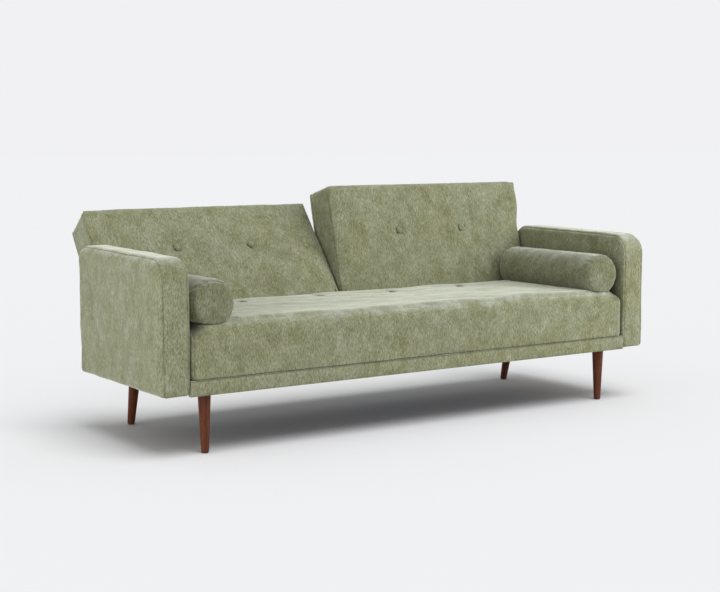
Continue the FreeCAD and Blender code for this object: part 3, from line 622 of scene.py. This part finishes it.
def sew(piece, seams, dark=0.6, depth=3.0 * MM, width=5.0 * MM):
    """Sink the skin along planes; "seam" keeps how near each point is to one, times dark.

    A seam is (normal, level, side): the plane where normal . p = level, felt
    only where the skin's own normal leans towards side.  Points close to the
    plane are first drawn on to it, so that the line is crisp.
    """
    points, normals = coordinates(piece.data), facing(piece.data)
    near = np.full(len(points), 1.0)
    for along, level, side in seams:
        gap = level - points @ np.asarray(along)
        felt = normals @ np.asarray(side) > 0.25 if side else np.ones(len(points), bool)
        drawn = gap * np.exp(-(gap / (3 * MM)) ** 2) * felt
        points += drawn[:, None] * np.asarray(along)
        near = np.minimum(near, np.where(felt, np.abs(gap - drawn), 1.0))
    pucker = 1 + 0.25 * lumps(points, 22 * MM)
    groove = np.exp(-(near / width) ** 2)
    lips = np.exp(-((near - 2.3 * width) / width) ** 2)
    sunk = depth * pucker * (groove - 0.3 * lips)
    set_coordinates(piece.data, points - normals * sunk[:, None])
    piece.data.attributes.new("seam", "FLOAT", "POINT")
    set_seam_and_shade(piece, dark * np.exp(-(near / (2.2 * MM)) ** 2))


def tuft(piece, centre, axis, depth=11 * MM, reach=19 * MM):
    """Sink the skin round a button by depth * exp(-(r / reach)^1.4), with five pleats.

    Returns the point on the button's axis where the skin was before.
    """
    points = coordinates(piece.data)
    axis = np.asarray(axis, float)
    away = points - np.asarray(centre)
    along = away @ axis
    flat = away - along[:, None] * axis
    radius = np.linalg.norm(flat, axis=1)
    near = (radius < reach) & (np.abs(along) < 50 * MM)
    level = np.asarray(centre) + axis * along[near].mean()
    angle = np.arctan2(flat @ np.cross(axis, (1.0, 0.0, 0.0)), flat[:, 0])
    rim = np.exp(-((radius - reach) / reach) ** 2)
    pleats = 1 + 0.25 * np.cos(5 * angle + RANDOM.uniform(0, 6)) * rim
    sunk = depth * np.exp(-(radius / reach) ** 1.4) * pleats * (np.abs(along) < 50 * MM)
    set_coordinates(piece.data, points - sunk[:, None] * axis)
    return level


def button_caps(name, centres, axis, radius=12.5 * MM, rise=6.5 * MM):
    """Covered buttons: a quarter ellipse turned about the axis, over a short curled rim."""
    bend = np.linspace(0, math.pi / 2, 8)
    out = radius * np.concatenate([np.sin(bend), [0.97, 0.80, 0.0]])
    up = np.concatenate([rise * np.cos(bend), [-1.5 * MM, -2.6 * MM, -2.6 * MM]])
    angle = np.linspace(0, 2 * math.pi, 28, endpoint=False)
    axis = np.asarray(axis, float)
    first = np.array([1.0, 0.0, 0.0])
    second = np.cross(axis, first)
    circle = np.cos(angle)[:, None] * first + np.sin(angle)[:, None] * second
    one = out[:, None, None] * circle + up[:, None, None] * axis
    quads = np.array(ring_faces(len(out), len(angle))[:-2])
    points = np.concatenate([one.reshape(-1, 3) + centre for centre in np.asarray(centres)])
    size = one.shape[0] * one.shape[1]
    faces = np.concatenate([quads + number * size for number in range(len(centres))])
    return new_piece(name, points, faces.tolist())


# %% [markdown]
# ## The cushions before they are blown up
# The seat is one long slab with a generous front roll.  An arm is a frame
# wrapped in a band: crowned on top and in front, flat inside.  A back is
# boxed and tapers to its top; it is made upright about its hinge pin and
# leaned at the end.  A bolster is a round tube with domed ends.

# %% Slabs, a little smaller than the finished cushions
SKIN = 2 * MM

SEAT_LOW, SEAT_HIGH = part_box("seat_cover")
HINGE = {}
for word, side in SIDES:
    low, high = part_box("hinge_pins")
    HINGE[word] = np.array([0.0, (low.y + high.y) / 2, (low.z + high.z) / 2])
LEAN = {"left": math.radians(38.4), "right": math.radians(14.8)}
print("hinge axis", HINGE["left"].round(4))


def seat_slab():
    """The seat, from arm to arm; its front edge hangs over the top of the band."""
    low, high = (np.array(corner) for corner in (SEAT_LOW, SEAT_HIGH))
    front, back = low[1] + SKIN, high[1] - SKIN
    bottom, top = low[2] + 0.5 * MM, high[2] - SKIN
    overhang = 5 * MM
    outline = rounded_outline([(front, bottom - overhang), (back, bottom), (back, top), (front, top)],
                              [3 * MM, 7 * MM, 18 * MM, 40 * MM])
    radii = by_side(outline[1], 12 * MM, 5 * MM, 12 * MM, 50 * MM)
    piece = slab("seat_cushion", outline, stations(low[0] + 2 * MM, high[0] - 2 * MM, 50 * MM), radii)
    remesh(piece, 10 * MM)
    return piece


def arm_slab(word):
    """An arm's wrapped frame, whose top falls a little towards the front."""
    low, high = (np.array(corner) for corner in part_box(f"{word}_arm_cover"))
    front, back, top = FRONT - 7 * MM, high[1] + 5 * MM, high[2] - 12 * MM
    bottom, fall = low[2] - 1 * MM, 7 * MM
    outline = rounded_outline([(front, bottom), (back, bottom), (back, top), (front, top - fall)],
                              [3 * MM, 3 * MM, 46 * MM, 72 * MM])
    radii = by_side(outline[1], 6 * MM, 3 * MM, 4 * MM, 19 * MM)
    piece = slab(f"{word}_arm_pad", outline, stations(low[0], high[0], 20 * MM), radii)
    remesh(piece, 6.5 * MM)
    return piece


def back_slab(word, side):
    """A back, upright, with its hinge pin on the X axis."""
    heel, height, thin, thick = 25 * MM, 424 * MM, 112 * MM, 132 * MM
    bottom = 1 * MM - heel
    outline = rounded_outline([(-heel, bottom), (thick, bottom), (thin, height), (-heel, height)],
                              [heel - 1 * MM, 5 * MM, 5 * MM, 5 * MM])
    radii = by_side(outline[1], 4 * MM, 4 * MM, 4 * MM, 24 * MM)
    near, far = sorted((side * 3.5 * MM, side * 893 * MM))
    piece = slab(f"{word}_back_cushion", outline, stations(near, far, 24 * MM), radii)
    remesh(piece, 8 * MM)
    return piece


def bolster_slab(word):
    """A bolster about its own axis, which runs front to back."""
    low, high = (np.array(corner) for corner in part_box(f"{word}_bolster_cover"))
    radius = (high[0] - low[0]) / 2
    middle, centre = (low[0] + high[0]) / 2, high[2] - radius
    centre -= 4.5 * MM
    small = radius + 7 * MM
    square = np.array([(-1, -1), (1, -1), (1, 1), (-1, 1)]) * small
    outline = rounded_outline(square + (middle, centre), [small] * 4)
    places = stations(low[1] + 3 * MM, high[1] - 3 * MM, 24 * MM)
    piece = slab(f"{word}_bolster", outline, places, np.full(len(outline[0]), 24 * MM), along=1)
    remesh(piece, 6 * MM)
    return piece


SEAT = seat_slab()
ARMS = {word: arm_slab(word) for word, _ in SIDES}
BACKS = {word: back_slab(word, side) for word, side in SIDES}
BOLSTERS = {word: bolster_slab(word) for word, _ in SIDES}
print("points before padding:", {piece.name: len(piece.data.vertices)
                                 for piece in (SEAT, *ARMS.values(), *BACKS.values(), *BOLSTERS.values())})

# %% [markdown]
# ## Blowing them up
# The room on each side is what the neighbours leave: next to none between the
# seat and the arms or under a back, more on the open faces.

# %% Simulation
ROOMS = {SEAT.name: (0.7, 4, 0.5, 0.7, 0.3, 5)}
for word, side in SIDES:
    arm_out, back_out, inner = 4, 5, 0.5
    ends = (arm_out, inner) if side < 0 else (inner, arm_out)
    ROOMS[ARMS[word].name] = (ends[0], 3, 0.5, ends[1], 3, 3)
    ends = (back_out, inner) if side < 0 else (inner, back_out)
    ROOMS[BACKS[word].name] = (ends[0], 6, 0.5, ends[1], 6, 4)
    ROOMS[BOLSTERS[word].name] = (3, 6, 1, 3, 1.5, 3)
PADS = [SEAT, *ARMS.values(), *BACKS.values(), *BOLSTERS.values()]


def pad_out(pieces):
    """Blow the pieces up within their rooms and give them a finer mesh."""
    moves = blow_up(pieces)
    for piece, move in zip(pieces, moves):
        points, normals = coordinates(piece.data), facing(piece.data)
        if move is None:
            move = normals * 6 * MM
        print(piece.name, "moved at most", round(float(np.linalg.norm(move, axis=1).max()) / MM, 1), "mm")
        set_coordinates(piece.data, points + held(move, normals, ROOMS[piece.name]))
        subdivide(piece)


pad_out(PADS)

# %% [markdown]
# ## Sewing and tufting
# The seat's front corners each have one upright seam.  An arm's band is sewn
# to both side panels.  A back is boxed: its face and its rear panel each meet
# the border in a seam.  Each bolster end is a disc let into the tube.

# %% Seat
SEAT_MIDDLE = FRONT + 440 * MM
SEAT_BUTTONS = [(x * MM, SEAT_MIDDLE) for x in (-471, -157, 157, 471)]
UNDER_BOLSTERS = 720 * MM


def rising(values, start, length):
    """From 0 to 1 in a straight line, over a length from a start."""
    return np.clip((values - start) / length, 0, 1)


def finish_seat():
    """Ripple the seat's top, sink its buttons and sew its corners.

    Beside the arms the top falls away by 14 mm into a crevice, and there its
    colour is darkened: painted shade.  The lowest edge, which meets the band, is
    darkened too: painted shade between the parts.
    """
    points, normals = coordinates(SEAT.data), facing(SEAT.data)
    up = np.maximum(normals[:, 2], 0)
    ripple = 1.6 * lumps(points * (0.35, 1.0, 1.0), 90 * MM) + 2.2 * lumps(points, 320 * MM)
    points[:, 2] += ripple * up * MM
    front = np.maximum(-normals[:, 1], 0)
    points[:, 1] -= (1.2 * lumps(points, 200 * MM)) * front * MM
    ceiling = np.where(np.abs(points[:, 0]) > UNDER_BOLSTERS, SEAT_HIGH.z - 0.2 * MM, 1.0)
    points[:, 2] = np.minimum(points[:, 2], ceiling)
    set_coordinates(SEAT.data, points)
    levels = [tuft(SEAT, (x, y, SEAT_HIGH.z), (0, 0, 1)) for x, y in SEAT_BUTTONS]
    corner = SEAT_HIGH.x - 11 * MM
    forward = (0, -1, 0)
    sew(SEAT, [((1, 0, 0), corner, forward), ((1, 0, 0), -corner, forward)], 0.3, 2 * MM)
    points = coordinates(SEAT.data)
    # The crevice beside each arm: the seat sinks there, and its colour darkens as painted shade.
    crevice = rising(np.abs(points[:, 0]), SEAT_HIGH.x - 75 * MM, 60 * MM)
    crevice *= rising(points[:, 2], SEAT_HIGH.z - 50 * MM, 40 * MM)
    set_coordinates(SEAT.data, points - 14 * MM * crevice[:, None] * (0, 0, 1))
    # The lowest edge, against the band, is darkened: painted shade.
    painted_foot_shade = 0.8 * (points[:, 2] < SEAT_LOW.z + 3 * MM)
    set_seam_and_shade(SEAT, np.max([crevice, painted_foot_shade, seam_and_shade_values(SEAT)], axis=0))
    caps = button_caps("seat_button_caps", np.array(levels) - (0, 0, 3.5 * MM), (0, 0, 1))
    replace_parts(SEAT, "seat_cover", "seat_foam")
    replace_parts(caps, "seat_buttons")
    for piece in (SEAT, caps):
        piece.data.materials.append(CLOTH)
        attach(piece, "base")


finish_seat()

# %% Arms
def finish_arm(word, side):
    """Sew the band of an arm to its side panels; along the top the seam hardly shows."""
    piece = ARMS[word]
    points, normals = coordinates(piece.data), facing(piece.data)
    points += normals * (0.7 * lumps(points, 160 * MM) * MM)[:, None]
    set_coordinates(piece.data, points)
    low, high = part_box(f"{word}_arm_cover")
    inner, outer = sorted((abs(low.x), abs(high.x)))
    across = (side, 0, 0)
    sew(piece, [(across, outer - 9 * MM, None), (across, inner + 7 * MM, None)], 0.4, 1.6 * MM)
    upward = np.maximum(facing(piece.data)[:, 2], 0)
    set_seam_and_shade(piece, seam_and_shade_values(piece) * (1 - 0.8 * upward))
    piece.data.materials.append(CLOTH)
    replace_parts(piece, f"{word}_arm_cover", f"{word}_arm_foam")
    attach(piece, "base")


for word, side in SIDES:
    finish_arm(word, side)

# %% Backs
def slit(piece, across, square):
    """Cut out the slot that a hinge leaf turns in: a box, the same in Y and Z."""
    corners = [(x, y, z) for x in across for y in square for z in square]
    faces = [(0, 1, 3, 2), (4, 6, 7, 5), (0, 4, 5, 1), (2, 3, 7, 6), (0, 2, 6, 4), (1, 5, 7, 3)]
    cutter = new_piece("slot_cutter", np.array(corners), faces)
    modifier = piece.modifiers.new("slit", "BOOLEAN")
    modifier.object, modifier.operation, modifier.solver = cutter, "DIFFERENCE", "EXACT"
    keep_result(piece)
    bpy.data.objects.remove(cutter)


# The backs take only a fifth of the painted top light.
BACK_CLOTH = {word: chenille(f"chenille_{word}_back", LEAN[word], top_light=0.2) for word, _ in SIDES}


def lean_back(points, word):
    """From upright about the pin to the back's own lean.

    With lean a, (n, s) becomes (n cos a + s sin a, s cos a - n sin a) from the pin.
    """
    sine, cosine = math.sin(LEAN[word]), math.cos(LEAN[word])
    turned = points.copy()
    turned[:, 1] = points[:, 1] * cosine + points[:, 2] * sine
    turned[:, 2] = points[:, 2] * cosine - points[:, 1] * sine
    return turned + HINGE[word]


def finish_back(word, side):
    """Ripple, tuft, sew, slit and lean one back, and cover its two buttons.

    The face stands proud by 9 mm at most, and not at all beside the seat.
    Above the arms, and behind them, the far end swells outwards by 18 mm.
    """
    piece = BACKS[word]
    points, normals = coordinates(piece.data), facing(piece.data)
    front = np.maximum(-normals[:, 1], 0)
    points[:, 1] -= (1.5 * lumps(points, 260 * MM) + 0.8 * lumps(points, 90 * MM)) * front * MM
    proud = 9 * MM * rising(points[:, 2], 25 * MM, 120 * MM)
    points[:, 1] = np.maximum(points[:, 1], -25 * MM - proud)
    above = rising(points[:, 2], 235 * MM, 95 * MM)
    behind = rising(points[:, 2], 150 * MM, 130 * MM) * rising(points[:, 1], 50 * MM, 30 * MM)
    free = np.maximum(above, behind)
    far = np.clip(side * points[:, 0] / (893 * MM) * 4 - 3, 0, 1)
    points[:, 0] += side * 18 * MM * free ** 2 * (3 - 2 * free) * far
    set_coordinates(piece.data, points)
    centres = np.array([(side * x * MM, -25 * MM, 238 * MM) for x in (300, 600)])
    levels = [tuft(piece, centre, (0, -1, 0), 12 * MM, 21 * MM) for centre in centres]
    sew(piece, [((0, 1, 0), -15 * MM, None), ((0, 1, 0), 98 * MM, None)], 0.2, 2.5 * MM)
    for near, far in ((17, 23.2), (876.8, 883)):
        slit(piece, sorted((side * near * MM, side * far * MM)), (-32 * MM, 21.5 * MM))
    set_coordinates(piece.data, lean_back(coordinates(piece.data), word))
    caps = button_caps(f"{word}_back_button_caps", np.array(levels) + (0, 3 * MM, 0), (0, -1, 0))
    set_coordinates(caps.data, lean_back(coordinates(caps.data), word))
    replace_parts(piece, f"{word}_back_cover", f"{word}_back_foam", f"{word}_back_rear_panel")
    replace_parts(caps, f"{word}_back_buttons")
    for each in (piece, caps):
        each.data.materials.append(BACK_CLOTH[word])
        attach(each, f"{word}_back")


for word, side in SIDES:
    finish_back(word, side)

# %% Bolsters
def finish_bolster(word):
    """Sew the end discs in, gather the cloth round them and rest the underside on the seat.

    A roll of radius r, a distance p past its start, lies r - sqrt(r^2 - p^2) lower.
    """
    piece = BOLSTERS[word]
    low, high = (np.array(corner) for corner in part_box(f"{word}_bolster_cover"))
    points, normals = coordinates(piece.data), facing(piece.data)
    centre = np.array([(low[0] + high[0]) / 2, 0, high[2] - (high[0] - low[0]) / 2])
    angle = np.arctan2(points[:, 0] - centre[0], points[:, 2] - centre[2])
    to_end = np.minimum(points[:, 1] - low[1], high[1] - points[:, 1])
    gathered = np.exp(-((to_end - 24 * MM) / (17 * MM)) ** 2)
    folds = np.cos(17 * angle + 2 * lumps(points, 80 * MM)) * gathered
    points += normals * ((0.9 * folds + 0.8 * lumps(points, 110 * MM)) * MM)[:, None]
    set_coordinates(piece.data, points)
    along = (0, 1, 0)
    sew(piece, [(along, low[1] + 14 * MM, None), (along, high[1] - 14 * MM, None)], 0.1, 1.5 * MM)
    points = coordinates(piece.data)
    rolls = ((SEAT_LOW.y + 40 * MM - points[:, 1], 40 * MM),
             (np.abs(points[:, 0]) - SEAT_HIGH.x + 50 * MM, 50 * MM))
    drop = sum(radius - np.sqrt(radius ** 2 - np.clip(past, 0, radius) ** 2) for past, radius in rolls)
    points[:, 2] = np.maximum(points[:, 2], low[2] - drop)
    set_coordinates(piece.data, points)
    piece.data.materials.append(SHADED_BOLSTER_CLOTH)
    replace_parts(piece, f"{word}_bolster_cover", f"{word}_bolster_filling")
    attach(piece, f"{word}_bolster")


for word, _ in SIDES:
    finish_bolster(word)

# %% [markdown]
# ## The band round the base
# The base rails wear a strip of the same cloth over a thin felt.  Its section
# runs down the rail's face, swelling a little, and turns under; the section
# is carried from end to end.  At the rear the cloth also runs forward to the
# seat, and hides the inside of the base.

# %% Base band
def band_strip(name, face, way, over_rail):
    """A folded strip's closed section, carried across.

    way is -1 at the front and 1 at the rear, and over_rail is how far the
    cloth runs over the top of the rail.  At both ends the section's inner
    points go back, and so the last rings close the rail's end off.
    """
    low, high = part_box("base_band")
    rise = np.linspace(high.z + 0.3 * MM, low.z + 5 * MM, 9)
    share = np.clip((high.z - rise) / (high.z - low.z), 0, 1)
    outside = np.column_stack([2.2 * MM * np.sin(math.pi * share) - 1.2 * MM, rise])
    under = [(-2.4, 0.9), (-5.5, 0.2), (-20, 0.2), (-20, 2.2), (-2.5, 2.4)]
    over = [(-2.5, 49.6), (-over_rail, 49.7), (-over_rail, 50.1), (-3.0, 50.1)]
    section = np.concatenate([outside, np.array(under + over) * MM + (0, low.z)])
    half = 900.3 * MM
    end = half + np.array([0.1, 1.2]) * MM
    places = np.concatenate([-end[::-1], np.linspace(-half, half, 240), end])
    grid = np.empty((len(places), len(section), 3))
    grid[:, :, 0] = places[:, None]
    grid[:, :, 1] = face + way * section[:, 0]
    grid[:, :, 2] = section[:, 1]
    for ring in (0, 1, -2, -1):
        grid[ring, 12:16, 1] = face - way * 20 * MM
    wave = 0.5 * MM * lumps(grid[:, 1:8].reshape(-1, 3), 70 * MM).reshape(len(places), 7)
    grid[:, 1:8, 1] += way * wave
    piece = new_piece(name, grid, ring_faces(len(places), len(section)))
    piece.data.attributes.new("seam", "FLOAT", "POINT")
    # The strip's top edge, under the seat's overhang, is darkened: painted shade.
    set_seam_and_shade(piece, 0.7 * (coordinates(piece.data)[:, 2] > high.z - 3 * MM))
    piece.data.materials.append(CLOTH)
    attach(piece, "base")
    return piece


BAND_LOW, BAND_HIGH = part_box("base_band")
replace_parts(band_strip("front_band", BAND_LOW.y, -1, 12), "base_band")
band_strip("rear_band", BAND_HIGH.y, 1, 68)

# %% [markdown]
# ## Which light falls on what
# A light's receivers are a collection, and so are the things that shade it.
# The sofa's lights leave the floor out, and the floor's sun lights only the
# floor.  The backs don't shade it, so that the shadow lies under the seat.

# %% Receivers and shades
LIT = bpy.data.collections.new("the_sofa")
for piece in SCENE.objects:
    if piece.type == "MESH" and piece != FLOOR:
        LIT.objects.link(piece)
for light in SOFA_LIGHTS:
    light.light_linking.receiver_collection = LIT
PAPER_ONLY = bpy.data.collections.new("lit_by_overhead")
PAPER_ONLY.objects.link(FLOOR)
FLOOR_LIGHT.light_linking.receiver_collection = PAPER_ONLY
SHADE = bpy.data.collections.new("shades_the_floor")
for piece in LIT.objects:
    if "_back_" not in piece.name:
        SHADE.objects.link(piece)
FLOOR_LIGHT.light_linking.blocker_collection = SHADE
